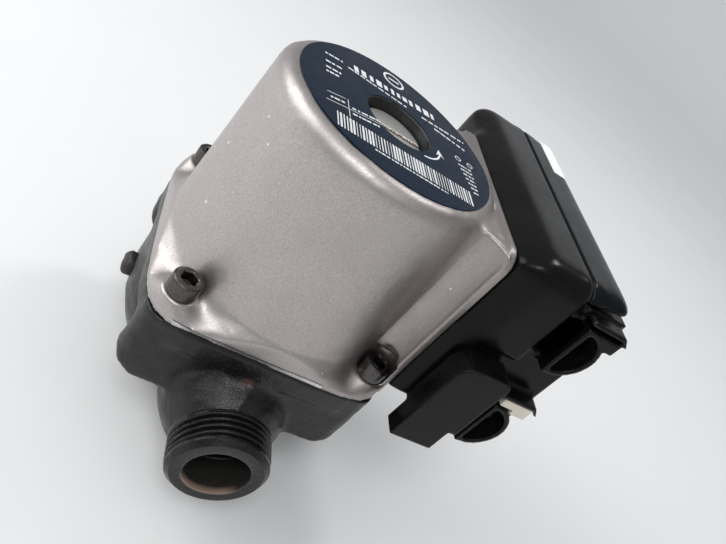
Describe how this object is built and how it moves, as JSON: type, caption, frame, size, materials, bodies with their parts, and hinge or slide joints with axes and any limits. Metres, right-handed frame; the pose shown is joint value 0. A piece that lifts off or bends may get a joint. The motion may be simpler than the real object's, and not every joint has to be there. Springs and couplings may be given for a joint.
{
  "type": "circulator pump",
  "caption": "Wet-rotor circulator pump: cast iron volute with threaded union ends, aluminium motor housing, and plastic terminal box with removable lid and plug cover.",
  "frame": {"origin": "where the pipe axis crosses the motor axis", "axes": "+Y along the pipe run towards the outlet, +Z along the motor axis towards the nameplate, +X towards the terminal box"},
  "size_m": [0.1342, 0.13, 0.1407],
  "materials": {
    "coated_iron": "satin black coating over a sand casting",
    "plug_iron": "rough, partly bare",
    "cast_aluminium": "shot-blasted die casting",
    "plain_aluminium": "satin",
    "stainless": "deep-drawn sheet, satin",
    "screw_steel": "dark, worn bright on edges",
    "zinc_steel": "zinc plated",
    "vent_steel": "plated and turned",
    "lamination_steel": "stacked sheet",
    "brass": "turned",
    "contact_metal": "plated",
    "copper_wire": "enamelled wire",
    "ceramic": "ground ceramic",
    "carbon": "ground carbon",
    "rubber_black": "moulded",
    "insulator_plastic": "moulded",
    "label_film": "printed film",
    "box_plastic": "satin moulding",
    "lid_plastic": "satin moulding",
    "paper_white": "blank paper sticker",
    "cream_plastic": "moulded",
    "board_laminate": "solder mask",
    "capacitor_sleeve": "shrunk sleeve",
    "film_yellow": "moulded box",
    "black_component": "moulded",
    "fuse_body": "ceramic tube",
    "terminal_plastic": "moulded"
  },
  "bodies": {
    "pump_body": {"pump_housing": "coated_iron", "casting_plug": "plug_iron", "neck_ring": "stainless", "housing_gasket": "rubber_black", "can_oring": "rubber_black", "bearing_plate": "stainless", "rotor_can": "stainless", "lower_bearing": "ceramic", "upper_bearing": "ceramic", "upper_bearing_holder": "stainless", "motor_housing": "cast_aluminium", "housing_screws": "screw_steel", "stator_core": "lamination_steel", "stator_insulators": "insulator_plastic", "stator_windings": "copper_wire", "can_top_seal": "rubber_black", "nameplate": "label_film", "terminal_box_base": "box_plastic", "terminal_box_seal": "rubber_black", "terminal_box_screws": "zinc_steel", "key_tab": "cream_plastic", "circuit_board": "board_laminate", "board_screws": "zinc_steel", "filter_capacitor": "capacitor_sleeve", "suppression_capacitor": "film_yellow", "common_mode_choke": "copper_wire", "relay": "black_component", "fuse": "fuse_body", "power_module": "black_component", "heat_spreader": "plain_aluminium", "mains_terminal_block": "terminal_plastic", "signal_header": "cream_plastic", "motor_connector": "black_component", "connector_pins": "contact_metal"},
    "rotor": {"shaft": "ceramic", "rotor_core": "lamination_steel", "rotor_sleeve": "stainless", "rotor_end_rings": "stainless", "thrust_bearing": "carbon", "thrust_bearing_retainer": "rubber_black", "impeller": "stainless", "impeller_shroud": "stainless", "split_cone": "brass"},
    "vent_seal": {"vent_screw_oring": "rubber_black"},
    "vent_screw": {"vent_screw": "vent_steel"},
    "lid": {"terminal_box_lid": "lid_plastic", "lid_screws": "zinc_steel", "lid_sticker": "paper_white"},
    "plug_cover": {"plug_cover": "box_plastic"}
  },
  "joints": [
    {"name": "rotor_spin", "type": "hinge", "parent": "pump_body", "child": "rotor", "pos_m": [0, 0, 0.05], "axis": [0, 0, 1], "continuous": true},
    {"name": "vent_screw_travel", "type": "slide", "parent": "pump_body", "child": "vent_seal", "axis": [0, 0, 1], "range_m": [0, 0.003]},
    {"name": "vent_screw_turn", "type": "hinge", "parent": "vent_seal", "child": "vent_screw", "pos_m": [0, 0, 0.092], "axis": [0, 0, 1], "range_deg": [0, 1080]},
    {"name": "lid_removal", "type": "slide", "parent": "pump_body", "child": "lid", "axis": [1, 0, 0], "range_m": [0, 0.03]},
    {"name": "plug_cover_removal", "type": "slide", "parent": "pump_body", "child": "plug_cover", "axis": [0, -1, 0], "range_m": [0, 0.02]}
  ],
  "couplings": [
    {"joint": "vent_screw_travel", "follows": "vent_screw_turn", "m_per_rad": 0.000159}
  ]
}
